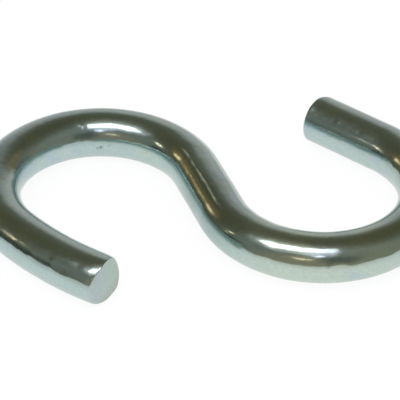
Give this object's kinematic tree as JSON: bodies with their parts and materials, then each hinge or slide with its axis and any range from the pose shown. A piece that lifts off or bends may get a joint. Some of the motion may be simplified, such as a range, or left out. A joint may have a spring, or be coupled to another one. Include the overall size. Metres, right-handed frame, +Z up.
{
  "type": "s hook",
  "caption": "Open S-shaped hook bent from round zinc-plated steel wire, with one straight tail and one longer, slightly bowed tail.",
  "frame": {"origin": "middle of the outline on the floor that the hook lies on", "axes": "+X through the centres of the two eyes, towards the eye with the short straight tail; +Z up, square to the plane of the S"},
  "size_m": [0.0572, 0.0376, 0.006],
  "materials": {
    "zinc_plate": "bright zinc plating with a faint blue-green cast, smooth and mirror-like with slight waviness"
  },
  "bodies": {
    "root": {"s_hook": "zinc_plate"}
  },
  "joints": []
}
